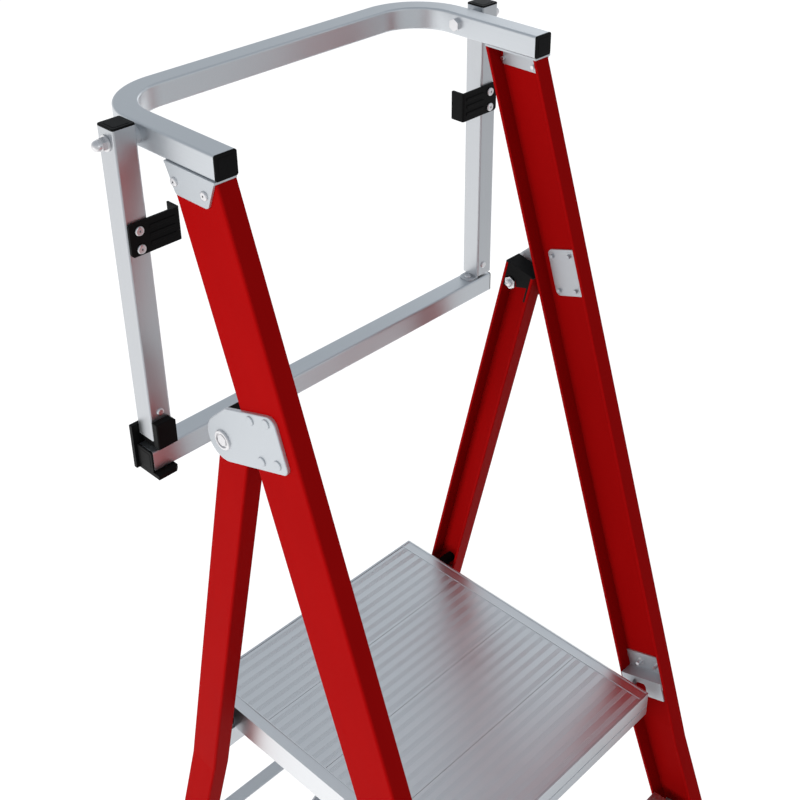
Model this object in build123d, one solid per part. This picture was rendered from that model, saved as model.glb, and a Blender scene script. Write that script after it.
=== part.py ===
"""Glass-fibre platform step ladder with a guard rail and an overhead swing gate.

Frame: X to the right of a person who climbs, Y away from that person, Z up, in millimetres.
The origin lies on the ground, in the middle of the footprint. Everything is first drawn with
y = 0 at the front ends of the guard rail, and save() moves it to the footprint's middle.
Most pieces come in pairs, so the right-hand one is drawn and the left-hand one is its mirror image.
"""
from build123d import *
import os
from math import atan, cos, sin, sqrt

# ---- driving sizes -------------------------------------------------------------------------
deck_height = 1000.0
rail_height = 1000.0            # top of the guard rail over the deck
step_heights = (250.0, 500.0, 750.0)

tube = 31.75                    # square tube of the guard rail and the gate
tube_wall = 2.0
tube_corner = 3.0
rail_half_width = 289.5         # outside of the side arms
rail_rear = 258.0               # outside of the rear run
rail_bend = 97.0                # outside radius of the two rear bends

stile_x = 288.5                 # outside of the stile's web, above the knee
stile_front = -315.3            # front face of the stile at deck height
stile_slope = 0.32873           # rearward run for each mm of height
stile_depth = 91.6              # measured level, front to rear
stile_flange = 29.0
stile_wall = 4.8

leg_x = 283.8
leg_front = 130.6
leg_slope = -0.22948
leg_depth = 55.6
leg_flange = 29.0
leg_wall = 4.5
leg_top = 1632.0                # middle of the sloping top cut

knee_height = 895.0             # stiles and legs spread outward below this height
splay = 0.07

deck_half_width = 234.5
deck_front = -303.0
deck_rear = 229.0
deck_depth = 48.0
trim_width = 19.3
edge_thickness = 3.5
plank_count = 4
ribs_per_plank = 7

hinge_y, hinge_z = 28.7, 1611.0         # rear legs turn here
gate_y, gate_z = 147.0, 1984.5          # gate turns here
deck_pivot_y, deck_pivot_z = -252.0, 962.0
bar_pivot_x = 292.0                     # gate bar turns about an upright rivet here

post_outer = 329.0
post_top = 2002.3
left_post_bottom = 1574.8
right_post_bottom = 1564.6
bar_top = 1558.8
bar_left, bar_right = -332.0, 327.5     # tube ends, without the end caps

plate = 3.0
hinge_plate_thickness = 5.0
running = 0.05                  # radial clearance of every turning or loose pin
gap = 0.2                       # clearance between faces that pass or rest

ground_clear = 12.0             # thickness of a foot's sole
foot_overhang = 3.0

clip_bottom, clip_top = 1841.5, 1885.0  # plastic clips of the gate on the rail's arms
clip_inner = 253.3
clip_thickness = 3.5
latch_outer, latch_inner = -337.0, -301.0
latch_foot = 6.0
beam_y0, beam_y1 = 157.0, 189.0         # beam between the legs that the platform lies on
beam_z0, beam_z1 = 919.0, deck_height - deck_depth - gap
brace_heights = (706.0, 420.0, 140.0)
diagonal_width = 25.0

rail_top = deck_height + rail_height
rail_bottom = rail_top - tube
stile_top = rail_bottom - plate


# ---- places along the sloping members ------------------------------------------------------
def stile_y(z):
    """Front face of the stiles at a height."""
    return stile_front + stile_slope * (z - deck_height)


def leg_y(z):
    """Front face of the rear legs at a height."""
    return leg_front + leg_slope * (z - deck_height)


def spread(z):
    """Outward shift of stiles and legs at a height."""
    return splay * max(0.0, knee_height - z)


def sole_range(front_at, depth):
    """Front and rear edges of a foot's sole, which covers the member from the ground to its cut end."""
    low, high = sorted((front_at(0), front_at(ground_clear)))
    return high - foot_overhang, low + depth + foot_overhang


shift_y = -(sole_range(stile_y, stile_depth)[0] + sole_range(leg_y, leg_depth)[1]) / 2

os.makedirs("parts", exist_ok=True)


def save(name, *solids):
    """Move the pieces to the footprint's middle and write them as one node."""
    moved = [Pos(0, shift_y, 0) * solid for piece in solids for solid in piece.solids()]
    export_step(Compound(children=moved), f"parts/{name}.step")


def left(piece):
    return mirror(piece, about=Plane.YZ)


def save_pair(name, piece):
    """Both sides as two nodes."""
    save(f"{name}_right", piece)
    save(f"{name}_left", left(piece))


def block(x0, x1, y0, y1, z0, z1):
    return Pos((x0 + x1) / 2, (y0 + y1) / 2, (z0 + z1) / 2) * Box(x1 - x0, y1 - y0, z1 - z0)


def rod(x0, x1, y, z, radius):
    """Round bar along X."""
    return Pos((x0 + x1) / 2, y, z) * Rot(0, 90, 0) * Cylinder(radius, abs(x1 - x0))


def hexagon(x0, x1, y, z, across):
    """Hexagonal bar along X."""
    face = Plane(origin=(min(x0, x1), y, z), z_dir=(1, 0, 0)) * RegularPolygon(across / sqrt(3), 6)
    return extrude(face, abs(x1 - x0))


def slanted(sketch, z0, z1, slope, side_slope=0.0):
    """Upright prism between two heights: the level outline slides along as it rises."""
    rise = z1 - z0
    face = (Pos(0, 0, z0) * sketch).faces()[0]
    return Solid.extrude(face, Vector(side_slope * rise, slope * rise, rise))


def outline(points, rounded=(), radius=1.0):
    """Closed outline, with the corners at the given points rounded."""
    sketch = make_face(Polyline(*points, close=True))
    corners = [v for v in sketch.vertices() for p in rounded if (v - Vertex(*p)).center().length < 0.01]
    return fillet(corners, radius) if corners else sketch


def channel(web_x, front, depth, flange, wall, slope):
    """Level section of a channel that opens towards the ladder's middle."""
    tip = web_x - flange
    level_wall = wall * sqrt(1 + slope * slope)
    inner_front, inner_rear = front + level_wall, front + depth - level_wall
    corners = ((web_x, front), (web_x, front + depth))
    points = [(tip, front), corners[0], corners[1], (tip, front + depth), (tip, inner_rear),
              (web_x - wall, inner_rear), (web_x - wall, inner_front), (tip, inner_front)]
    sketch = outline(points, corners, wall * 0.8)
    tips = [v for v in sketch.vertices() if abs(v.X - tip) < 0.01]
    return fillet(tips, wall * 0.3)


def member(web_x, front_at, depth, flange, wall, slope, bottom, top):
    """Stile or leg: plumb above the knee and spread below it."""
    section = channel(web_x, front_at(knee_height), depth, flange, wall, slope)
    upper = slanted(section, knee_height, top, slope)
    lower = slanted(section, knee_height, bottom, slope, -splay)
    return upper + lower


def stile_plane(x, z):
    """Plane along the web: its x runs rearward, square to the stile, and its y up the stile."""
    tilt = atan(stile_slope)
    return Plane(origin=(x, stile_y(z), z), x_dir=(0, cos(tilt), -sin(tilt)), z_dir=(1, 0, 0))


def leg_plane(x, z):
    tilt = atan(leg_slope)
    return Plane(origin=(x, leg_y(z), z), x_dir=(0, cos(tilt), -sin(tilt)), z_dir=(1, 0, 0))


def on_plane(plane, w, u):
    """Y and Z of a point given along a stile or leg plane."""
    point = plane.from_local_coords((w, u, 0))
    return point.Y, point.Z


def dome(x, y, z, radius, height):
    """Low domed head whose flat lies at x and which bulges along +X."""
    head = rod(x, x + height, y, z, radius)
    return fillet(head.faces().sort_by(Axis.X)[-1].edges(), height * 0.85)


def tube_section(size=tube, wall=tube_wall):
    return RectangleRounded(size, size, tube_corner) - RectangleRounded(
        size - 2 * wall, size - 2 * wall, tube_corner - wall / 2)


def tube_cap(lip=2.5, plug=10.0):
    """End plug of the square tube: its lip lies over z = 0 and its plug below."""
    inside = tube - 2 * tube_wall - gap
    cap = extrude(RectangleRounded(tube, tube, tube_corner), lip)
    cap = chamfer(cap.faces().sort_by(Axis.Z)[-1].edges(), 0.8)
    raised = Pos(0, 0, lip) * extrude(RectangleRounded(tube - 9, tube - 9, 2.5), 0.3)
    return cap + raised + extrude(RectangleRounded(inside, inside, 2.5), -plug)


# ---- positions of the fasteners ------------------------------------------------------------
rivet_radius = 3.0
rail_screw_y = (24.0, 72.0)
trim_bolts = [(-101.0, deck_height - 8.0)]
rail_rivets = [(y, 1946.5) for y in (21.8, 76.6)]
hinge_plane = stile_plane(stile_x, hinge_z)
pivot_w = hinge_plane.to_local_coords(Vector(stile_x, hinge_y, hinge_z)).X
pivot_u = hinge_plane.to_local_coords(Vector(stile_x, hinge_y, hinge_z)).Y
hinge_rivets = [on_plane(hinge_plane, pivot_w + w, pivot_u + u) for w in (-104.0, -72.5) for u in (-18.5, 36.0)]
shelf_plane = stile_plane(stile_x, 974.0)
shelf_studs = [on_plane(shelf_plane, w, 50.0) for w in (24.0, 56.0)]
bush_y, bush_z = leg_y(974.0) + leg_depth / 2, 974.0
clip_z = (1849.5, 1873.5)
rivet_x = 312.5
bolt_radius = 5.0
hinge_bolt_radius = 6.0
web_inner = stile_x - stile_wall
leg_web_inner = leg_x - leg_wall


def drill(piece, places, x0, x1, radius):
    """Cut holes along X."""
    for y, z in places:
        piece = piece - rod(x0, x1, y, z, radius)
    return piece


def web_axis_plane(x, y, z):
    """Plane square to the spread web below the knee, facing outward."""
    return Plane(origin=(x, y, z), x_dir=(0, 1, 0), z_dir=(1, 0, splay))


def spread_rivet_places(z, web_x, y_middle, half_pitch):
    x = web_x + spread(z)
    return [web_axis_plane(x, y_middle + s * half_pitch, z) for s in (-1, 1)]


def shank(plane, depth, radius):
    return extrude(plane * Circle(radius), -depth)


def button(plane, depth, head=6.0, height=2.2):
    """Rivet with a low round head on the plane and a shank behind it."""
    rivet = extrude(plane * Circle(head), height)
    rivet = chamfer(rivet.faces().sort_by(Axis(plane.origin, plane.z_dir))[-1].edges(), height * 0.6)
    return rivet + shank(plane, depth, rivet_radius)


# Rivets that hold steps and braces on the spread webs
step_rivets = [p for z in step_heights
               for p in spread_rivet_places(z - 44, stile_x, stile_y(z - 44) + stile_depth / 2, 20)]
brace_rivets = [p for z in brace_heights
                for p in spread_rivet_places(z - 16, leg_x, leg_y(z - 16) + leg_depth / 2, 12)]


# ---- front frame ---------------------------------------------------------------------------
def stile():
    piece = member(stile_x, stile_y, stile_depth, stile_flange, stile_wall, stile_slope,
                   ground_clear, stile_top)
    piece = drill(piece, rail_rivets + hinge_rivets, web_inner - 1, stile_x + 1, rivet_radius + running)
    piece = drill(piece, shelf_studs, web_inner - 1, stile_x - 1.0, rivet_radius + running)
    for plane in step_rivets:
        piece = piece - shank(plane.offset(1), 8, rivet_radius + running)
    return piece


def guard_rail():
    middle = rail_half_width - tube / 2
    rear = rail_rear - tube / 2
    front = 2.5
    path = FilletPolyline((-middle, front), (-middle, rear), (middle, rear), (middle, front),
                          radius=rail_bend - tube / 2)
    section = Plane(origin=(-middle, front, 0), z_dir=(0, 1, 0)) * tube_section()
    rail = Pos(0, 0, rail_top - tube / 2) * sweep(section, path=path)
    hole = bolt_radius + running
    rail = drill(rail, [(gate_y, gate_z)], -rail_half_width - 1, rail_half_width + 1, hole)
    return drill_down(rail, hole_radius=rivet_radius + running)


def drill_down(rail, hole_radius):
    """Holes through the lower wall of both arms for the bracket screws."""
    for side in (-1, 1):
        for y in rail_screw_y:
            at = Pos(side * (rail_half_width - tube / 2), y, rail_bottom + tube_wall / 2)
            rail = rail - at * Cylinder(hole_radius, tube_wall + 1)
    return rail


def rail_bracket():
    """Saddle between arm and stile: a ledge under the arm and a plate on each face of the web."""
    outer = stile_x + plate
    low = 1931.0
    ledge = block(stile_x - stile_flange, outer, 2, 93, stile_top, rail_bottom)
    face = Plane(origin=(stile_x, 0, 0), x_dir=(0, 1, 0), z_dir=(1, 0, 0))
    lower_corners = ((17, low), (76, low))
    shape = outline([(2, rail_bottom), (93, rail_bottom), lower_corners[1], lower_corners[0]],
                    lower_corners, 7.0)
    cheek = extrude(face * shape, plate)
    inner = block(web_inner - plate, web_inner, 14, 78, 1938, stile_top)
    for y in rail_screw_y:
        ledge = ledge - Pos(rail_half_width - tube / 2, y, stile_top + plate / 2) * Cylinder(
            rivet_radius + running, plate + 1)
    return drill(ledge + cheek + inner, rail_rivets, web_inner - plate - 1, outer + 1,
                 rivet_radius + running)


def solid_rivet(y, z, outside, inside, head, rise):
    """Domed head outside, shank through the stack and a short tail inside."""
    return dome(outside, y, z, head, rise) + rod(inside - 4, outside + 0.5, y, z, rivet_radius)


def blind_rivet(y, z, outside, inside):
    """A rivet set with a pulling pin, which leaves a small hole in the head."""
    return solid_rivet(y, z, outside, inside, 6.0, 2.4) - rod(outside + 1.2, outside + 3, y, z, 1.3)


def rail_screws():
    screws = []
    for y in rail_screw_y:
        at = Pos(rail_half_width - tube / 2, y, 0)
        head = at * Pos(0, 0, stile_top - 1.2) * Cylinder(5.5, 2.4)
        screws.append(head + at * Pos(0, 0, (stile_top + rail_bottom) / 2 + 3) * Cylinder(rivet_radius, plate + 8))
    return screws


def hinge_plate():
    """Tear-drop plate on the outside of the stile, round at the rear where the leg turns."""
    with BuildSketch() as shape:
        with Locations((pivot_w, pivot_u)):
            Circle(31.5)
        for w, u, r in ((-26, 32.5, 13), (-107, 32.5, 13), (-110, -21.5, 10)):
            with Locations((pivot_w + w, pivot_u + u)):
                Circle(r)
        make_hull()
    piece = extrude(hinge_plane * shape.sketch, hinge_plate_thickness)
    outer = stile_x + hinge_plate_thickness
    piece = fillet(piece.faces().sort_by(Axis.X)[-1].edges(), 1.5)
    piece = drill(piece, hinge_rivets, stile_x - 1, outer + 1, rivet_radius + running)
    return drill(piece, [(hinge_y, hinge_z)], stile_x - 1, outer + 1, hinge_bolt_radius + running)


def backing_plate():
    w0, w1, u0, u1 = pivot_w - 118.5, pivot_w - 65.0, pivot_u - 27.0, pivot_u + 46.0
    plane = stile_plane(web_inner - plate, hinge_z)
    shape = Pos((w0 + w1) / 2, (u0 + u1) / 2) * RectangleRounded(w1 - w0, u1 - u0, 8)
    piece = extrude(plane * shape, plate)
    return drill(piece, hinge_rivets, web_inner - plate - 1, web_inner + 1, rivet_radius + running)


def hinge_bolt():
    """Shouldered bolt with a wide low head outside and a nut at the mouth of the leg."""
    outer = stile_x + hinge_plate_thickness
    end = leg_x - leg_flange - 3
    head = rod(outer, outer + 3, hinge_y, hinge_z, 14)
    head = chamfer(head.faces().sort_by(Axis.X)[-1].edges(), 1.0)
    head = head - rod(outer + 1.2, outer + 4, hinge_y, hinge_z, 10.5)
    head = head + hexagon(outer + 1, outer + 2.6, hinge_y, hinge_z, 15)
    shaft = rod(end, outer + 1, hinge_y, hinge_z, hinge_bolt_radius)
    return head + shaft + hexagon(end + 1.5, end + 11.5, hinge_y, hinge_z, 18)


def hinge_washer():
    inner, outer = leg_x + gap, stile_x
    return rod(inner, outer, hinge_y, hinge_z, 16) - rod(inner - 1, outer + 1, hinge_y, hinge_z,
                                                       hinge_bolt_radius + running)


def platform_bracket():
    """Folded bracket in the stile: back plate, ledge and an inner flange that carries the pivot."""
    w0, w1 = stile_wall + gap, stile_depth * cos(atan(stile_slope)) - stile_wall - gap
    inner = stile_x - stile_flange - 2.5
    u_low, u_ledge, u_top = 2.0, 35.2, 64.0
    lay = stile_plane(0, 974.0)

    def slab(x0, x1, u0, u1):
        shape = Pos((w0 + w1) / 2, (u0 + u1) / 2) * Rectangle(w1 - w0, u1 - u0)
        return extrude(lay.offset(x0) * shape, x1 - x0)
    piece = slab(web_inner - plate, web_inner, u_low, u_top)
    piece = piece + slab(inner, web_inner, u_ledge - 2.5, u_ledge)
    piece = piece + slab(inner, inner + plate, u_low, u_ledge)
    window = on_plane(lay, 50.2, 17.4)
    piece = drill(piece, [window], inner - 1, inner + plate + 1, 13.6)
    piece = drill(piece, [(deck_pivot_y, deck_pivot_z)], inner - 1, inner + plate + 1, bolt_radius + running)
    return drill(piece, shelf_studs, web_inner - plate - 1, web_inner + 1, rivet_radius + running)


def shelf_stud(y, z):
    """Stud set into the web from the inside, with a flanged nut on the bracket."""
    stud = rod(web_inner - 14, stile_x - 1.2, y, z, rivet_radius)
    face = web_inner - plate
    return stud + rod(face - 1.5, face, y, z, 6.0)


def deck_pivot_bolt():
    """Pin from the bracket into the platform's side trim, with a spacer between them."""
    flange = stile_x - stile_flange - 2.5
    trim_web = deck_half_width
    y, z = deck_pivot_y, deck_pivot_z
    pin = rod(trim_web - 7, flange + 14, y, z, bolt_radius)
    head = rod(trim_web - 8, trim_web - 2.7, y, z, 7.0)
    spacer = rod(trim_web + gap, flange, y, z, 6.0)
    return pin + head + spacer + hexagon(flange + plate, flange + 11, y, z, 15)


def ribbed_top(width, count, height, land):
    """Outline points of a ribbed upper face, from left to right, with `count` raised lands."""
    pitch = width / count
    points = []
    for i in range(count):
        start = -width / 2 + i * pitch + (pitch - land) / 2
        fine = land / 7
        for k in range(4):
            a = start + 2 * k * fine
            points += [(a, 0), (a, height), (a + fine, height), (a + fine, 0)]
    return points


def step(z):
    """Pressed box tread with a ribbed top, open below."""
    depth, height, wall = 80.0, 30.0, 2.0
    half = stile_x + spread(z) - stile_flange - 1.0
    y_middle = stile_y(z) + 1.0 + depth / 2
    top = ribbed_top(depth - 8, 4, 1.0, 12.0)
    ring = [(-depth / 2, 0)] + top + [(depth / 2, 0), (depth / 2, -height + 1), (depth / 2 - 12, -height + 1),
            (depth / 2 - 12, -height + 1 + wall), (depth / 2 - wall, -height + 1 + wall),
            (depth / 2 - wall, -wall), (-depth / 2 + wall, -wall),
            (-depth / 2 + wall, -height + 1 + wall), (-depth / 2 + 12, -height + 1 + wall),
            (-depth / 2 + 12, -height + 1), (-depth / 2, -height + 1)]
    face = Plane(origin=(-half, y_middle, z - 1.0), x_dir=(0, 1, 0), z_dir=(1, 0, 0)) * make_face(
        Polyline(*ring, close=True))
    return extrude(face, 2 * half)


def spread_panel(z0, z1, x_outer, y_front_at, y0, y1, slope, thickness=plate):
    """Plate that lies on the inside of a spread web, between two heights."""
    front = y_front_at(z0)
    x = x_outer + spread(z0)
    shape = outline([(x - thickness, front + y0), (x, front + y0), (x, front + y1), (x - thickness, front + y1)])
    return slanted(shape, z0, z1, slope, -splay)


def step_bracket(z):
    """Angle bracket: a plate riveted to the web and a shelf under the step."""
    low, shelf_top = z - 58, z - 30 - gap
    y0, y1 = 16.0, 76.0
    back = spread_panel(low, shelf_top, web_inner, stile_y, y0, y1, stile_slope)
    reach = web_inner + spread(shelf_top)
    shelf = block(reach - 62, reach - 1, stile_y(z) + 11, stile_y(z) + 71, shelf_top - plate, shelf_top)
    piece = back + shelf
    for plane in step_rivets:
        piece = piece - shank(plane.offset(1), 12, rivet_radius + running)
    return piece


def foot(web_x, front_at, depth, flange, wall, slope):
    """Moulded foot: a sole wider than the member and a plug inside the channel."""
    level_wall = wall * sqrt(1 + slope * slope)
    x = web_x + spread(ground_clear)
    front = front_at(ground_clear)
    y0, y1 = sole_range(front_at, depth)
    y0 = min(y0, front - gap)
    sole_outline = RectangleRounded(flange + 2 * foot_overhang, y1 - y0, 6)
    sole = Pos(x - flange / 2, (y0 + y1) / 2, 0) * extrude(sole_outline, ground_clear)
    sole = chamfer(sole.faces().sort_by(Axis.Z)[0].edges(), 1.5)
    plug = outline([(x - flange, front + level_wall + gap), (x - wall - gap, front + level_wall + gap),
                    (x - wall - gap, front + depth - level_wall - gap),
                    (x - flange, front + depth - level_wall - gap)])
    return sole + slanted(plug, ground_clear, ground_clear + 55, slope, -splay)


# ---- rear frame ----------------------------------------------------------------------------
def leg_cut():
    """Everything above the sloping top cut of a leg."""
    plane = leg_plane(0, leg_top)
    square = Plane(origin=plane.from_local_coords((27, 0, 0)), x_dir=(1, 0, 0),
                   z_dir=(0, leg_slope, 1))
    return extrude(square * Rectangle(900, 300), 200)


def rear_leg():
    piece = member(leg_x, leg_y, leg_depth, leg_flange, leg_wall, leg_slope, ground_clear, leg_top + 40)
    piece = piece - leg_cut()
    piece = drill(piece, [(hinge_y, hinge_z)], leg_web_inner - 1, leg_x + 1, hinge_bolt_radius + running)
    piece = drill(piece, [(bush_y, bush_z)], leg_web_inner - 1, leg_x - 1.0, 4 + running)
    for plane in brace_rivets:
        piece = piece - shank(plane.offset(1), 8, rivet_radius + running)
    return piece


def leg_cap():
    """Moulded lid on the leg with an apron across the mouth, cut round for the hinge nut."""
    lay = leg_plane(leg_x - leg_flange, leg_top)
    depth = leg_depth * cos(atan(leg_slope))
    lid = extrude(lay * Pos(depth / 2, 1.25 + gap) * Rectangle(depth, 2.5), leg_flange)
    lid = chamfer(lid.faces().sort_by(Axis.Z)[-1].edges(), 0.7)
    inset = leg_wall + gap
    apron_shape = outline([(inset, gap), (depth - inset, gap), (depth - inset, -42), (depth - inset - 4, -42),
                           (inset + 3, -22), (inset + 3, -48), (inset, -48)])
    apron = extrude(lay.offset(1.0) * apron_shape, 2.5)
    plug = extrude(lay.offset(1.0) * Pos(depth / 2, -3) * Rectangle(depth - 2 * inset, 6 + 2 * gap),
                   leg_flange - leg_wall - 1 - gap)
    piece = lid + apron + plug
    return piece - rod(leg_x - leg_flange - 1, leg_x - leg_flange + 8, hinge_y, hinge_z, 11.0)


def leg_sleeve():
    """Sleeve inside the leg that keeps the hinge nut off the web."""
    inner, outer = leg_x - leg_flange + 8.5 + gap, leg_web_inner
    return rod(inner, outer, hinge_y, hinge_z, 10) - rod(inner - 1, outer + 1, hinge_y, hinge_z,
                                                       hinge_bolt_radius + running)


def rest_beam():
    """Box beam between the legs that the platform lies on."""
    reach = leg_web_inner - 0.3
    outer = block(-reach, reach, beam_y0, beam_y1, beam_z0, beam_z1)
    return outer - block(-reach - 1, reach + 1, beam_y0 + 3, beam_y1 - 3, beam_z0 + 3, beam_z1 - 3)


def beam_cleat():
    """Angle under the beam's end, bonded and riveted to the leg from inside."""
    y0, y1 = beam_y0 + 2, beam_y1 - 2
    tab = block(leg_web_inner - 40, leg_web_inner, y0, y1, beam_z0 - 3, beam_z0)
    return tab + block(leg_web_inner - 3, leg_web_inner, y0, y1, beam_z0 - 20, beam_z0)


def side_bush():
    """Black guide between leg and platform side."""
    inner, outer = deck_half_width + 3.5, leg_web_inner
    bush = rod(inner, inner + 9, bush_y, bush_z, 14) + rod(inner + 9, outer, bush_y, bush_z, 9)
    bush = chamfer(bush.faces().sort_by(Axis.X)[0].edges(), 1.5)
    return bush - rod(inner + 3, outer + 1, bush_y, bush_z, 4 + running)


def bush_screw():
    inner = deck_half_width + 3.5
    return rod(inner + 3, leg_x - 1.2, bush_y, bush_z, 4)


def brace_profile():
    return [(0, 0), (22, 0), (22, -30), (19.5, -30), (19.5, -2.5), (0, -2.5)]


def rear_brace(z):
    """Angle between the legs with a plate on each web."""
    start = leg_wall + 1.5
    lay = leg_plane(0, z)
    reach = leg_web_inner + spread(z) - 1
    shape = Pos(start, 0) * make_face(Polyline(*brace_profile(), close=True))
    bar = extrude(lay.offset(-reach) * shape, 2 * reach)
    end = spread_panel(z - 34, z - 2, leg_web_inner, leg_y, 9, 46, leg_slope)
    for plane in brace_rivets:
        end = end - shank(plane.offset(1), 12, rivet_radius + running)
    return bar + end + left(end)


def diagonal_brace():
    """Flat strip from a leg down to the middle of the centre brace, behind the angles."""
    w = leg_wall + 1.5 + 22
    top, bottom = brace_heights[0] - 22, brace_heights[1] - 16
    upper = leg_plane(0, top)
    x_top, x_bottom = leg_x - leg_flange - 10, 18.0
    start = upper.from_local_coords((w, 0, x_top))
    end = leg_plane(0, bottom).from_local_coords((w, 0, x_bottom))
    along = end - start
    normal = Vector(0, 1, -leg_slope).normalized()
    plane = Plane(origin=(start + end) * 0.5, x_dir=along.normalized(), z_dir=normal)
    strip = RectangleRounded(along.length + diagonal_width, diagonal_width, diagonal_width / 2 - 0.5)
    return extrude(plane * strip, plate)


# ---- platform ------------------------------------------------------------------------------
def deck_plank(index):
    """Extruded plank: ribbed top and two stiffening webs."""
    y0, y1 = deck_front + edge_thickness, deck_rear - edge_thickness
    width = (y1 - y0) / plank_count
    middle = y0 + (index + 0.5) * width
    half = deck_half_width - trim_width
    top = ribbed_top(width - 0.6, ribs_per_plank, 0.5, 7.7)
    edge, wall, drop = (width - 0.6) / 2, 2.2, 26.0
    ring = [(-edge, 0)] + top + [(edge, 0), (edge, -drop), (edge - 9, -drop), (edge - 9, -drop + wall),
            (edge - wall, -drop + wall), (edge - wall, -3), (-edge + wall, -3),
            (-edge + wall, -drop + wall), (-edge + 9, -drop + wall), (-edge + 9, -drop), (-edge, -drop)]
    face = Plane(origin=(-half, middle, deck_height - 0.9), x_dir=(0, 1, 0), z_dir=(1, 0, 0)) * make_face(
        Polyline(*ring, close=True))
    return extrude(face, 2 * half)


def side_trim():
    """Side rail of the platform: grooved top, outer web, inner ledge web and a bottom lip."""
    x1, x0 = deck_half_width, deck_half_width - trim_width
    top, low, wall = deck_height, deck_height - deck_depth, 2.3
    ledge = top - 27.6
    ring = [(x0, top), (x0 + 1.6, top), (x0 + 1.6, top - 0.9), (x1 - 2.6, top - 0.9), (x1 - 2.6, top),
            (x1, top), (x1, low), (x0 + 3, low), (x0 + 3, low + wall), (x1 - wall, low + wall),
            (x1 - wall, top - 3.2), (x0 + wall, top - 3.2), (x0 + wall, ledge - wall),
            (x0 - 14, ledge - wall), (x0 - 14, ledge), (x0, ledge)]
    y0, y1 = deck_front + edge_thickness, deck_rear - edge_thickness
    face = Plane(origin=(0, y1, 0), x_dir=(1, 0, 0), z_dir=(0, -1, 0)) * make_face(Polyline(*ring, close=True))
    piece = extrude(face, y1 - y0)
    piece = drill(piece, [(deck_pivot_y, deck_pivot_z)], x1 - wall - 1, x1 + 1, bolt_radius + running)
    return drill(piece, trim_bolts, x1 - wall - 1, x1 + 1, rivet_radius + running)


def trim_bolt(y, z):
    wall = 2.3
    head = dome(deck_half_width, y, z, 7.0, 3.0)
    return head + rod(deck_half_width - wall - 5, deck_half_width + 0.5, y, z, rivet_radius)


def edge_rail(y0, y1, groove_side):
    """Front or rear closing strip of the platform, with one groove along it."""
    half = deck_half_width
    low = deck_height - deck_depth + 2.5
    strip = block(-half, half, y0, y1, low, deck_height)
    upright = strip.edges().filter_by(Axis.Z)
    groove_y = y0 if groove_side < 0 else y1
    groove_z = deck_height - 26.0
    strip = chamfer(upright, 1.2)
    return strip - block(-half - 1, half + 1, groove_y - 0.8, groove_y + 0.8, groove_z - 0.9, groove_z + 0.9)


# ---- gate ----------------------------------------------------------------------------------
post_x = post_outer - tube / 2


def gate_post(bottom, foot_rivet, side):
    """Upright tube of the gate, drawn at its own side."""
    body = Pos(side * post_x, gate_y, bottom) * extrude(tube_section(), post_top - bottom)
    x0, x1 = sorted((side * (post_outer + 1), side * (post_outer - tube - 1)))
    body = drill(body, [(gate_y, gate_z)], x0, x1, bolt_radius + running)
    for z in clip_z:
        body = body - front_hole(side * rivet_x, z)
    return body - front_hole(*foot_rivet)


def front_hole(x, z):
    face = gate_y - tube / 2
    return Pos(x, face + tube_wall / 2, z) * Rot(90, 0, 0) * Cylinder(rivet_radius + running, tube_wall + 1)


def front_rivet(x, z, face, grip, head=6.3, height=2.4, blind=True):
    """Rivet whose domed head lies on a front face; a blind one has a hole where its pin broke off."""
    upright = dome(0, 0, 0, head, height) + rod(-grip - 3, 0.5, 0, 0, rivet_radius)
    if blind:
        upright = upright - rod(height * 0.55, height + 1, 0, 0, 1.5)
    return Pos(x, face, z) * Rot(0, 0, -90) * upright


def gate_spacer():
    inner, outer = rail_half_width, post_outer - tube - gap
    ring = rod(inner, outer, gate_y, gate_z, 12)
    return ring - rod(inner - 1, outer + 1, gate_y, gate_z, bolt_radius + running)


def gate_bolt():
    """Bolt through arm, spacer and post, hexagon head inside and dome nut outside."""
    y, z = gate_y, gate_z
    inside = rail_half_width - tube
    shaft = rod(inside - 1, post_outer + 12, y, z, bolt_radius)
    head = hexagon(inside - 6, inside, y, z, 16)
    washer = rod(post_outer + gap, post_outer + 2, y, z, 10)
    nut = hexagon(post_outer + 2, post_outer + 9, y, z, 15)
    cap = rod(post_outer + 9, post_outer + 12, y, z, 6.8) + Pos(post_outer + 12, y, z) * Sphere(6.8)
    return shaft + head + washer + nut + cap


def clip():
    """Plastic clip: a plate on the post's front face and a hook that takes the rail arm."""
    face = gate_y - tube / 2
    height = clip_top - clip_bottom
    hook = 19.5
    points = [(326.5, face - clip_thickness), (326.5, face), (clip_inner + clip_thickness, face),
              (clip_inner + clip_thickness, face + hook - 2), (clip_inner + clip_thickness - 1.5, face + hook),
              (clip_inner, face + hook), (clip_inner, face - clip_thickness)]
    body = Pos(0, 0, clip_bottom) * extrude(make_face(Polyline(*points, close=True)), height)
    body = fillet(body.edges().filter_by(Axis.Y).filter_by(lambda e: e.center().X > 320), 5)
    bend = body.edges().filter_by(Axis.Z).filter_by(lambda e: e.center().X < clip_inner + 0.1)
    body = fillet(bend.filter_by(lambda e: e.center().Y < face), clip_thickness * 0.9)
    hook_corners = body.edges().filter_by(Axis.X).filter_by(lambda e: e.center().Y > face + hook - 0.1)
    body = fillet(hook_corners, 1.0)
    for k in (-1, 0, 1):
        z = (clip_top + clip_bottom) / 2 + k * 11
        body = body + block(clip_inner + 8, 298, face - clip_thickness - 0.9, face - clip_thickness, z - 2.2, z + 2.2)
    for z in clip_z:
        body = body - Pos(rivet_x, face - clip_thickness / 2, z) * Rot(90, 0, 0) * Cylinder(
            rivet_radius + running, clip_thickness + 3)
    return body


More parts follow.
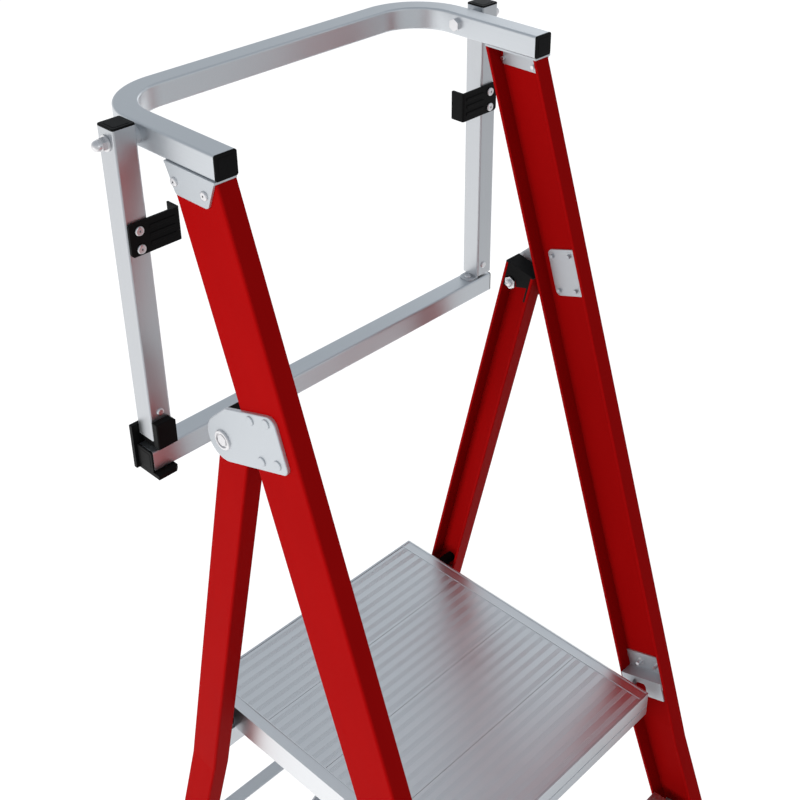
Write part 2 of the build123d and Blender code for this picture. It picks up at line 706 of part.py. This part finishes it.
def latch():
    """Moulded yoke on the left post: a cup for the post's end and a hook, open at the front, for the bar."""
    front, rear = gate_y - tube / 2, gate_y + tube / 2
    bar_low = bar_top - tube
    back = block(latch_outer - 1.5, latch_inner, rear + gap, rear + 6, bar_low - latch_foot - gap, 1587.5)
    web = block(latch_outer + 14, latch_inner, front - 3, rear + gap, bar_top + 0.5, left_post_bottom - gap)
    jaw = block(latch_inner - 27, latch_inner + 3, front - 10, front - gap, bar_top + 6, 1603.5)
    jaw = chamfer(jaw.edges().filter_by(Axis.Y).filter_by(
        lambda e: e.center().Z > 1603 and e.center().X > latch_inner), 5.0)
    jaw = chamfer(jaw.faces().sort_by(Axis.Y)[0].edges(), 1.0)
    sole = block(latch_outer + 3, latch_inner, front - 11, rear + 6, bar_low - latch_foot - gap, bar_low - gap)
    sole = chamfer(sole.edges().filter_by(Axis.Z).filter_by(
        lambda e: e.center().Y < front and e.center().X > latch_inner - 1), 5.0)
    return back + web + jaw + sole


def gate_bar():
    length = bar_right - bar_left
    at = Plane(origin=(bar_left, gate_y, bar_top - tube / 2), x_dir=(0, 1, 0), z_dir=(1, 0, 0))
    bar = extrude(at * tube_section(), length)
    return bar - Pos(bar_pivot_x, gate_y, bar_top) * Cylinder(4 + running, 3 * tube_wall)


def bar_caps():
    cap = tube_cap()
    z = bar_top - tube / 2
    right = Pos(bar_right, gate_y, z) * Rot(0, 90, 0) * cap
    left_cap = Pos(bar_left, gate_y, z) * Rot(0, -90, 0) * cap
    return [right, left_cap]


def bar_hinge_tab():
    """Folded steel tab: it hangs from the right post and lies on the bar."""
    inner_face = post_outer - tube
    y0, y1 = gate_y - 12, gate_y + 12
    low = bar_top + gap
    foot_tab = block(bar_pivot_x - 10, inner_face + tube_wall + 3 + gap, y0, y1, low, low + 2.5)
    foot_tab = fillet(foot_tab.edges().filter_by(Axis.Z).filter_by(lambda e: e.center().X < bar_pivot_x), 8)
    upright = block(inner_face + tube_wall + gap, inner_face + tube_wall + gap + 3, y0, y1, low, low + 40)
    tab = foot_tab + upright
    return tab - Pos(bar_pivot_x, gate_y, low) * Cylinder(4 + running, 12)


def bar_pivot_rivet():
    """Upright rivet: the bar turns on it. Head over the tab and a formed end inside the bar."""
    low = bar_top + gap
    over = low + 2.5
    rivet = Pos(bar_pivot_x, gate_y, (bar_top - 6 + over + 0.5) / 2) * Cylinder(4, over + 0.5 - bar_top + 6)
    head = Pos(bar_pivot_x, gate_y, over + 0.9) * Cylinder(5.6, 1.8)
    end = Pos(bar_pivot_x, gate_y, bar_top - tube_wall - gap - 1) * Cylinder(6.5, 2)
    return rivet + chamfer(head.faces().sort_by(Axis.Z)[-1].edges(), 1.0) + end


# ---- write every node ----------------------------------------------------------------------
def both(pieces):
    """Right-hand pieces and their mirror images, for a node that groups them."""
    return pieces + [left(piece) for piece in pieces]


save_pair("stile", stile())
save("guard_rail", guard_rail())
rail_cap = Pos(rail_half_width - tube / 2, 2.5, rail_top - tube / 2) * Rot(90, 0, 0) * tube_cap()
save("rail_end_caps", *both([rail_cap]))
save_pair("rail_bracket", rail_bracket())
bracket_rivets = [blind_rivet(y, z, stile_x + plate, web_inner - plate) for y, z in rail_rivets]
save("rail_bracket_fasteners", *both(bracket_rivets + rail_screws()))
save_pair("hinge_plate", hinge_plate())
save("backing_plates", *both([backing_plate()]))
save("hinge_plate_rivets", *both([solid_rivet(y, z, stile_x + hinge_plate_thickness, web_inner - plate, 6.5, 1.8)
                                  for y, z in hinge_rivets]))
save("hinge_bolts", *both([hinge_bolt(), hinge_washer()]))
save_pair("platform_bracket", platform_bracket())
save("platform_bracket_studs", *both([shelf_stud(y, z) for y, z in shelf_studs]))
save("platform_pivot_bolts", *both([deck_pivot_bolt()]))
for number, height in enumerate(step_heights, start=1):
    save(f"step_{number}", step(height))
save("step_brackets", *both([step_bracket(z) for z in step_heights]))
save("step_rivets", *both([button(plane, 10.5) for plane in step_rivets]))
save_pair("front_foot", foot(stile_x, stile_y, stile_depth, stile_flange, stile_wall, stile_slope))

save_pair("rear_leg", rear_leg())
save("leg_caps", *both([leg_cap()]))
save("leg_sleeves", *both([leg_sleeve()]))
save("rest_beam", rest_beam())
save("beam_cleats", *both([beam_cleat()]))
save("side_bushes", *both([side_bush()]))
save("bush_screws", *both([bush_screw()]))
for name, height in zip(("upper", "middle", "lower"), brace_heights):
    save(f"rear_brace_{name}", rear_brace(height))
save("brace_rivets", *both([button(plane, 10.0) for plane in brace_rivets]))
save("diagonal_braces", *both([diagonal_brace()]))
save_pair("rear_foot", foot(leg_x, leg_y, leg_depth, leg_flange, leg_wall, leg_slope))

for number in range(plank_count):
    save(f"deck_plank_{number + 1}", deck_plank(number))
save_pair("side_trim", side_trim())
save("trim_bolts", *both([trim_bolt(y, z) for y, z in trim_bolts]))
save("front_edge", edge_rail(deck_front, deck_front + edge_thickness, -1))
save("rear_edge", edge_rail(deck_rear - edge_thickness, deck_rear, 1))

left_foot_rivet = (-313.4, 1613.8)
right_foot_rivet = (309.8, 1581.5)
save("gate_post_right", gate_post(right_post_bottom, right_foot_rivet, 1))
save("gate_post_left", gate_post(left_post_bottom, left_foot_rivet, -1))
save("post_caps", *both([Pos(post_x, gate_y, post_top) * tube_cap()]))
save("gate_bolts", *both([gate_bolt()]))
save("gate_spacers", *both([gate_spacer()]))
save_pair("gate_clip", clip())
post_face = gate_y - tube / 2
clip_face = post_face - clip_thickness
clip_rivets = [front_rivet(rivet_x, z, clip_face, clip_thickness + tube_wall) for z in clip_z]
foot_rivets = [front_rivet(x, z, post_face, tube_wall, 5.2, 2.2, blind=False)
               for x, z in (left_foot_rivet, right_foot_rivet)]
save("gate_rivets", *both(clip_rivets), *foot_rivets)
save("bar_latch", latch())
save("gate_bar", gate_bar())
save("bar_end_caps", *bar_caps())
save("bar_hinge_tab", bar_hinge_tab())
save("bar_pivot_rivet", bar_pivot_rivet())
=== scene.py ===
# %% [markdown]
# A platform step ladder: red glass-fibre stiles and legs, an aluminium platform and treads,
# a guard rail of square tube, and a gate that hangs behind the person who stands there.
# The measured frame is loaded first and stays exactly as it is. What follows gives every piece
# its finish, adds the small things that the frame leaves out, and lights the whole in a studio.

# %% Load the measured frame
import math

import bmesh
import bpy
from mathutils import Matrix, Vector


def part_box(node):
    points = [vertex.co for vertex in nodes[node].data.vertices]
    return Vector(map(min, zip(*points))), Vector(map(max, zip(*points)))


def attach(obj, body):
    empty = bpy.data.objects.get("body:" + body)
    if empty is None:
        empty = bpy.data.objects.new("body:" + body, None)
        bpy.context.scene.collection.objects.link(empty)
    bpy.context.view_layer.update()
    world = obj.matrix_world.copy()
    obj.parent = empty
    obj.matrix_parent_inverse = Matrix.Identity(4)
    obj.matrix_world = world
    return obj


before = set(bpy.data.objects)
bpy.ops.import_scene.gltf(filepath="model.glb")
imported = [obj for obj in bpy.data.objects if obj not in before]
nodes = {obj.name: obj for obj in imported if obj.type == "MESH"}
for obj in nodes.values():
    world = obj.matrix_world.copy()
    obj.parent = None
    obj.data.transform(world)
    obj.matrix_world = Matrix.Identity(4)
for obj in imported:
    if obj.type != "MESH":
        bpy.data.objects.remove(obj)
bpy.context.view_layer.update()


# %% [markdown]
# Every finish is a small network of shader nodes. Wiring nodes by hand is long-winded, so one
# class wraps a socket: arithmetic on it adds Math nodes, and its node() method adds any other
# node. That keeps each finish as short as a formula, and all of it stays procedural.

# %% A socket that can be calculated with


class Shade:
    """A value on its way through a material."""

    def __init__(self, tree, socket=None):
        self.tree, self.socket = tree, socket

    def node(self, kind, settings=None, sockets=None, out=0):
        """Add a node: its settings first, then values or links for its sockets."""
        made = self.tree.nodes.new(kind)
        for name, value in (settings or {}).items():
            if name == "stops":
                ramp = made.color_ramp
                while len(ramp.elements) < len(value):
                    ramp.elements.new(1.0)
                for element, (place, tone) in zip(ramp.elements, value):
                    element.position = place
                    element.color = (*tone, 1.0)
            else:
                setattr(made, name, value)
        for name, value in (sockets or {}).items():
            if isinstance(value, Shade):
                self.tree.links.new(value.socket, made.inputs[name])
            else:
                made.inputs[name].default_value = value
        return Shade(self.tree, made.outputs[out]) if len(made.outputs) else made

    def maths(self, operation, first, second):
        return self.node("ShaderNodeMath", {"operation": operation}, {0: first, 1: second})

    def __add__(self, other):
        return self.maths("ADD", self, other)

    def __radd__(self, other):
        return self.maths("ADD", other, self)

    def __mul__(self, other):
        return self.maths("MULTIPLY", self, other)

    def blend(self, low, high):
        """Colour between low and high, with this value as the factor."""
        colour_a, colour_b, colour_out = 6, 7, 2
        return self.node("ShaderNodeMix", {"data_type": "RGBA"},
                         {0: self, colour_a: (*low, 1.0), colour_b: (*high, 1.0)}, colour_out)


# %% [markdown]
# The same few textures serve all finishes. Noise stretched along one direction gives the fine
# lines that a die or a pultrusion mould leaves on a long profile. Even noise gives grain. Edges
# of pressed and moulded parts are never knife sharp, so a Bevel node rounds the shading there.

# %% Textures that the finishes share


def stretched_noise(start, scales, detail=2.0, turn=0.0):
    """Noise in metres whose grain is longest where the scale is smallest; turn is about X."""
    place = start.node("ShaderNodeTexCoord", out="Object")
    mapped = start.node("ShaderNodeMapping", None,
                        {"Vector": start.node("ShaderNodeMapping", None,
                                              {"Vector": place, "Rotation": (turn, 0.0, 0.0)}),
                         "Scale": scales})
    return start.node("ShaderNodeTexNoise", None,
                      {"Vector": mapped, "Scale": 1.0, "Detail": detail, "Roughness": 0.55})


def surface_normal(start, height, depth, strength, edge_radius):
    """Normal with rounded edges and a fine relief; depth and edge_radius are in metres."""
    edge = start.node("ShaderNodeBevel", {"samples": 4}, {"Radius": edge_radius})
    return start.node("ShaderNodeBump", None,
                      {"Height": height, "Distance": depth, "Strength": strength, "Normal": edge})


def new_finish(name, constants):
    """Empty material with one Principled shader; constants are set on the shader's own sockets."""
    material = bpy.data.materials.new(name)
    material.use_nodes = True
    tree = material.node_tree
    shader = tree.nodes["Principled BSDF"]
    for socket, value in constants.items():
        shader.inputs[socket].default_value = value
    return material, Shade(tree), shader


def connect(shade, shader, socket):
    shade.tree.links.new(shade.socket, shader.inputs[socket])


# %% [markdown]
# Stiles and legs are pultruded glass fibre: red resin over long glass strands, with a satin
# skin. The strands show as faint lines along the profile and a faint cloudiness in the colour.
# Stiles and legs lean opposite ways, so the lines are turned to follow each of them.

# %% Red glass fibre
stile_run_per_rise, leg_run_per_rise = 0.32873, 0.22948
stile_lean = math.atan(stile_run_per_rise)
leg_lean = -math.atan(leg_run_per_rise)


def red_fibreglass(name, lean):
    material, start, shader = new_finish(name, {
        "Metallic": 0.0, "IOR": 1.48, "Specular IOR Level": 0.006})
    strands = stretched_noise(start, (700.0, 700.0, 9.0), 3.0, lean)
    clouds = stretched_noise(start, (22.0, 22.0, 9.0), 4.0, lean)
    grain = stretched_noise(start, (1500.0, 1500.0, 1500.0), 2.0)
    tone = strands * 0.35 + clouds * 0.65
    connect(tone.blend((0.262, 0.0016, 0.0020), (0.318, 0.0030, 0.0030)), shader, "Base Color")
    connect(0.36 + strands * 0.07 + clouds * 0.07, shader, "Roughness")
    relief = strands * 0.7 + grain * 0.3
    connect(surface_normal(start, relief, 0.00006, 0.35, 0.0008), shader, "Normal")
    return material


stile_red = red_fibreglass("stile_red", stile_lean)
leg_red = red_fibreglass("leg_red", leg_lean)

# %% [markdown]
# The tubes, planks, treads and braces are extruded aluminium, left bare or thinly anodised. An
# extrusion carries fine die lines along its length, so the finish is made once for each
# direction. Handling leaves wide soft patches that are a little duller: a low, wide noise.

# %% Extruded aluminium
along = {"x": (5.0, 900.0, 900.0), "y": (900.0, 5.0, 900.0), "z": (900.0, 900.0, 5.0)}


def extruded_aluminium(name, direction, low, high, dullness, edge_radius=0.0005):
    material, start, shader = new_finish(name, {"Metallic": 1.0, "IOR": 1.5})
    lines = stretched_noise(start, along[direction], 3.0)
    patches = stretched_noise(start, (14.0, 14.0, 14.0), 4.0)
    speckle = stretched_noise(start, (1300.0, 1300.0, 1300.0), 1.0)
    connect((lines * 0.6 + patches * 0.4).blend(low, high), shader, "Base Color")
    connect(dullness + lines * 0.10 + patches * 0.10, shader, "Roughness")
    relief = lines * 0.8 + speckle * 0.2
    connect(surface_normal(start, relief, 0.00003, 0.25, edge_radius), shader, "Normal")
    return material


tube_low, tube_high, tube_dullness = (0.60, 0.625, 0.65), (0.70, 0.725, 0.75), 0.27
post_low, post_high = (0.54, 0.555, 0.575), (0.62, 0.635, 0.655)
deck_low, deck_high, deck_dullness = (0.76, 0.775, 0.79), (0.86, 0.875, 0.89), 0.24
deck_edge_radius = 0.0002
tube_x = extruded_aluminium("tube_aluminium_x", "x", tube_low, tube_high, tube_dullness)
tube_y = extruded_aluminium("tube_aluminium_y", "y", tube_low, tube_high, tube_dullness)
tube_z = extruded_aluminium("tube_aluminium_z", "z", post_low, post_high, tube_dullness)
deck_x = extruded_aluminium("deck_aluminium_x", "x", deck_low, deck_high, deck_dullness,
                            deck_edge_radius)
deck_y = extruded_aluminium("deck_aluminium_y", "y", deck_low, deck_high, deck_dullness,
                            deck_edge_radius)

# %% [markdown]
# Brackets and plates are cut and folded sheet, tumbled until they are evenly dull. Fasteners are
# zinc-plated steel, a little glossier and warmer; the pins in them broke off dark. All have grain
# without any direction.

# %% Sheet brackets and zinc-plated fasteners


def grained_metal(name, low, high, dullness, grain_scale, depth, edge_radius, metallic=1.0):
    material, start, shader = new_finish(name, {"Metallic": metallic})
    grain = stretched_noise(start, (grain_scale,) * 3, 3.0)
    patches = stretched_noise(start, (30.0,) * 3, 3.0)
    connect((grain * 0.5 + patches * 0.5).blend(low, high), shader, "Base Color")
    connect(dullness + grain * 0.12 + patches * 0.10, shader, "Roughness")
    connect(surface_normal(start, grain, depth, 0.4, edge_radius), shader, "Normal")
    return material


sheet_metal = grained_metal("sheet_metal", (0.56, 0.585, 0.61), (0.64, 0.665, 0.69),
                            0.40, 1100.0, 0.00003, 0.0008, 0.85)
zinc_steel = grained_metal("zinc_steel", (0.70, 0.69, 0.70), (0.86, 0.85, 0.86),
                           0.18, 1600.0, 0.00002, 0.0005)
pin_steel = grained_metal("pin_steel", (0.10, 0.10, 0.12), (0.20, 0.20, 0.22),
                          0.25, 1600.0, 0.00002, 0.0003)

# %% [markdown]
# Caps, clips and the latch are black moulded nylon, with the fine spark-eroded grain of their
# mould. The feet are rubber: duller, with a coarser grain, and a trace of dust in soft patches.

# %% Moulded plastic and rubber


def moulded(name, low, high, dullness, grain_scale, depth, edge_radius, specular):
    material, start, shader = new_finish(name, {"Metallic": 0.0, "Specular IOR Level": specular})
    grain = stretched_noise(start, (grain_scale,) * 3, 3.0)
    dust = stretched_noise(start, (55.0,) * 3, 4.0)
    connect((grain * 0.4 + dust * 0.6).blend(low, high), shader, "Base Color")
    connect(dullness + grain * 0.15 + dust * 0.10, shader, "Roughness")
    connect(surface_normal(start, grain, depth, 0.5, edge_radius), shader, "Normal")
    return material


black_plastic = moulded("black_plastic", (0.003, 0.003, 0.003), (0.007, 0.007, 0.007),
                        0.30, 1400.0, 0.00004, 0.0008, 0.06)
foot_rubber = moulded("foot_rubber", (0.012, 0.012, 0.012), (0.035, 0.034, 0.033),
                      0.62, 700.0, 0.00010, 0.0010, 0.3)

# %% [markdown]
# Each node of the frame gets one of these finishes. A table by finish is easier to read and to
# check than a line for each node, and a count at the end shows that nothing was left out. The
# rivets of the hinge plates are as dull as the plates, so they share the sheet metal's finish.

# %% Give every node its finish
sides = ("left", "right")


def both_sides(*names):
    return [f"{name}_{side}" for name in names for side in sides]


finishes = {
    stile_red: both_sides("stile"),
    leg_red: both_sides("rear_leg"),
    tube_x: ["gate_bar", "rest_beam", "rear_brace_upper", "rear_brace_middle", "rear_brace_lower",
             "diagonal_braces", "front_edge", "rear_edge", "step_1", "step_2", "step_3"],
    tube_y: ["guard_rail"],
    tube_z: both_sides("gate_post"),
    deck_x: ["deck_plank_1", "deck_plank_2", "deck_plank_3", "deck_plank_4"],
    deck_y: both_sides("side_trim"),
    sheet_metal: both_sides("rail_bracket", "hinge_plate", "platform_bracket") + [
        "backing_plates", "step_brackets", "beam_cleats", "leg_sleeves", "gate_spacers",
        "bar_hinge_tab", "hinge_plate_rivets"],
    zinc_steel: ["rail_bracket_fasteners", "hinge_bolts", "platform_bracket_studs",
                 "platform_pivot_bolts", "step_rivets", "gate_bolts", "bush_screws", "brace_rivets",
                 "trim_bolts", "gate_rivets", "bar_pivot_rivet"],
    black_plastic: both_sides("gate_clip") + [
        "rail_end_caps", "leg_caps", "side_bushes", "post_caps", "bar_latch", "bar_end_caps"],
    foot_rubber: both_sides("front_foot", "rear_foot"),
}
done = set()
for finish, names in finishes.items():
    for name in names:
        nodes[name].data.materials.clear()
        nodes[name].data.materials.append(finish)
        done.add(name)
print("nodes with a finish", len(done), "left out", sorted(set(nodes) - done))

# %% [markdown]
# Blind rivets keep the broken end of the pin that pulled them tight, a dark dot in the middle of
# each pale dome. The pins are turned pieces: a short outline spun round an axis. Their places are
# read from the loose shells of the rivets in the frame, so they can't drift from them.

# %% Pins of the blind rivets


def shells(node):
    """Lowest and highest corner of each loose shell of a node's mesh."""
    mesh = bmesh.new()
    mesh.from_mesh(nodes[node].data)
    bmesh.ops.remove_doubles(mesh, verts=mesh.verts, dist=1e-6)
    unseen, found = set(mesh.verts), []
    while unseen:
        queue, shell = [unseen.pop()], []
        while queue:
            vertex = queue.pop()
            shell.append(vertex.co.copy())
            for edge in vertex.link_edges:
                other = edge.other_vert(vertex)
                if other in unseen:
                    unseen.remove(other)
                    queue.append(other)
        low = Vector([min(co[i] for co in shell) for i in range(3)])
        high = Vector([max(co[i] for co in shell) for i in range(3)])
        found.append((low, high))
    mesh.free()
    return found


def turned(name, profile, segments=24):
    """Closed solid spun about Z from (radius, height) points that start and end on the axis."""
    mesh = bmesh.new()
    rings = []
    for radius, height in profile:
        if radius < 1e-9:
            rings.append([mesh.verts.new((0.0, 0.0, height))])
        else:
            rings.append([mesh.verts.new((radius * math.cos(a), radius * math.sin(a), height))
                          for a in (2 * math.pi * k / segments for k in range(segments))])
    for below, above in zip(rings, rings[1:]):
        for k in range(segments):
            n = (k + 1) % segments
            corners = [below[k % len(below)], below[n % len(below)],
                       above[n % len(above)], above[k % len(above)]]
            mesh.faces.new(list(dict.fromkeys(corners)))
    bmesh.ops.recalc_face_normals(mesh, faces=mesh.faces)
    data = bpy.data.meshes.new(name)
    mesh.to_mesh(data)
    mesh.free()
    for face in data.polygons:
        face.use_smooth = True
    piece = bpy.data.objects.new(name, data)
    bpy.context.scene.collection.objects.link(piece)
    return piece


def dress(piece, finish, body):
    """Give a new piece its finish, and say which body it moves with."""
    piece.data.materials.append(finish)
    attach(piece, body)


pin_profile = [(0.0, 0.0), (0.00115, 0.0), (0.00115, 0.0011), (0.0008, 0.0014), (0.0, 0.0015)]


def rivet_pin(name, place, outward, body):
    """Pin end that stands in the middle of a rivet's dome and points outward."""
    piece = turned(name, pin_profile, 16)
    turn = Vector((0.0, 0.0, 1.0)).rotation_difference(outward).to_matrix().to_4x4()
    piece.matrix_world = Matrix.Translation(place) @ turn
    dress(piece, pin_steel, body)


pin_sink = 0.0019
screw_head_width = 0.012
clip_heads = [s for s in shells("gate_rivets") if s[0].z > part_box("gate_clip_left")[0].z]
for number, (low, high) in enumerate(sorted(clip_heads, key=lambda s: tuple(s[0]))):
    middle = (low + high) / 2
    rivet_pin(f"gate_rivet_pin_{number + 1}", Vector((middle.x, low.y + pin_sink, middle.z)),
              Vector((0.0, -1.0, 0.0)), "gate")
outside_heads = [s for s in shells("rail_bracket_fasteners")
                 if s[1].x - s[0].x > screw_head_width]
for number, (low, high) in enumerate(sorted(outside_heads, key=lambda s: tuple(s[0]))):
    middle = (low + high) / 2
    side = 1.0 if middle.x > 0 else -1.0
    tip = high.x if side > 0 else low.x
    rivet_pin(f"bracket_rivet_pin_{number + 1}", Vector((tip - side * pin_sink, middle.y, middle.z)),
              Vector((side, 0.0, 0.0)), "front_frame")
print("rivet pins", len(clip_heads) + len(outside_heads))

# %% [markdown]
# The pivot bolts of the rear legs end in the rounded, chamfered tip that a rolled thread has.
# It is small, but it catches the light in the dark mouth of the leg, so it gets a turned piece.

# %% Tips of the pivot bolts
tip_profile = [(0.0, 0.0), (0.0058, 0.0), (0.0058, 0.0012), (0.0050, 0.0026), (0.0034, 0.0034),
               (0.0, 0.0037)]
for side, sign in zip(sides, (-1.0, 1.0)):
    low, high = min((s for s in shells("hinge_bolts") if s[0].x * sign > 0 or s[1].x * sign > 0),
                    key=lambda s: min(abs(s[0].x), abs(s[1].x)))
    middle = (low + high) / 2
    end = low.x if sign > 0 else high.x
    piece = turned(f"pivot_bolt_tip_{side}", tip_profile)
    turn = Vector((0.0, 0.0, 1.0)).rotation_difference(Vector((-sign, 0.0, 0.0))).to_matrix().to_4x4()
    piece.matrix_world = Matrix.Translation((end, middle.y, middle.z)) @ turn
    dress(piece, zinc_steel, "front_frame")

# %% [markdown]
# The studio: a wide pale floor that runs out to white, a broad soft light on the ladder's left
# and weaker ones elsewhere. The faces that turn left are then bright and the front faces deep,
# which is what makes the channels read. The sky is grey above, so that tops of tubes show dark,
# and the floor in front of the ladder is a little deeper, which models the front of each tube.

# %% Floor, sky and lights
floor_size = 60.0
floor_drop = 0.001
fade_start, fade_rate = 4.0, 0.27
mesh = bmesh.new()
bmesh.ops.create_grid(mesh, x_segments=1, y_segments=1, size=floor_size / 2)
floor_data = bpy.data.meshes.new("studio_floor")
mesh.to_mesh(floor_data)
mesh.free()
floor = bpy.data.objects.new("studio_floor", floor_data)
floor.location = (0.0, 0.0, -floor_drop)
bpy.context.scene.collection.objects.link(floor)
floor_paint, floor_start, floor_shader = new_finish("studio_paint", {
    "Base Color": (0.20, 0.20, 0.20, 1.0), "Roughness": 0.95, "Specular IOR Level": 0.0,
    "Emission Strength": 0.95})
floor_place = floor_start.node("ShaderNodeTexCoord", out="Object")
floor_y = floor_start.node("ShaderNodeSeparateXYZ", None, {0: floor_place}, "Y")
floor_light = floor_start.node("ShaderNodeValToRGB", {"stops": [
    (0.0, (0.46, 0.47, 0.48)), (0.75, (0.58, 0.59, 0.60)), (1.0, (1.0, 1.0, 1.0))]},
    {0: (floor_y + fade_start) * fade_rate})
connect(floor_light, floor_shader, "Emission Color")
floor_data.materials.append(floor_paint)

world = bpy.data.worlds.new("studio_sky")
bpy.context.scene.world = world
world.use_nodes = True
sky = Shade(world.node_tree)
direction = sky.node("ShaderNodeTexCoord", out="Generated")
height = sky.node("ShaderNodeSeparateXYZ", None, {0: direction}, "Z")
tone = sky.node("ShaderNodeValToRGB", {"stops": [
    (0.0, (0.80, 0.81, 0.83)), (0.15, (0.62, 0.65, 0.68)), (0.5, (0.50, 0.54, 0.58)),
    (1.0, (0.42, 0.45, 0.49))]}, {0: height})
world.node_tree.links.new(tone.socket, world.node_tree.nodes["Background"].inputs["Color"])
world.node_tree.nodes["Background"].inputs["Strength"].default_value = 1.0


def soft_light(name, place, aim, width, height, power, colour=(1.0, 1.0, 1.0)):
    """Rectangular soft light at a place, turned towards another."""
    data = bpy.data.lights.new(name, "AREA")
    data.shape, data.size, data.size_y = "RECTANGLE", width, height
    data.energy, data.color = power, colour
    light = bpy.data.objects.new(name, data)
    bpy.context.scene.collection.objects.link(light)
    light.location = place
    light.rotation_euler = (Vector(aim) - Vector(place)).to_track_quat("-Z", "Y").to_euler()
    return light


ladder_middle = (0.0, 0.0, 1.3)
key = soft_light("key_left", (-5.5, 0.6, 2.6), ladder_middle, 4.0, 3.5, 260.0)
key.visible_glossy = False
soft_light("fill_right", (5.0, 2.5, 2.4), ladder_middle, 3.0, 3.0, 30.0)
soft_light("fill_front", (0.5, -6.0, 3.0), ladder_middle, 3.0, 2.0, 10.0)

# %% [markdown]
# The camera looks down on the platform from the climber's left, near enough to show only the
# upper half of the ladder. Its place and focal length follow the perspective of the guard rail.
# The frame is shifted a little downwards, and no further, so that views from elsewhere keep most
# of the ladder in the frame.

# %% Camera
image_width = 800.0
focal, centre_x, centre_y = 1289.10, 440.0, 300.0
camera_data = bpy.data.cameras.new("camera")
camera_data.sensor_width = 36.0
camera_data.lens = focal * camera_data.sensor_width / image_width
camera_data.shift_x = (image_width / 2 - centre_x) / image_width
camera_data.shift_y = (centre_y - image_width / 2) / image_width
camera = bpy.data.objects.new("camera", camera_data)
bpy.context.scene.collection.objects.link(camera)
azimuth, elevation, roll = (math.radians(angle) for angle in (47.013, 30.187, 0.286))
sight = Vector((math.sin(azimuth) * math.cos(elevation), math.cos(azimuth) * math.cos(elevation),
                -math.sin(elevation)))
camera.location = (-1.0579, -0.9368, 2.5663)
camera.rotation_euler = (sight.to_track_quat("-Z", "Y").to_matrix().to_4x4()
                         @ Matrix.Rotation(roll, 4, "Z")).to_euler()
bpy.context.scene.camera = camera
bpy.context.scene.view_settings.view_transform = "Standard"
print("camera at", tuple(round(value, 3) for value in camera.location))
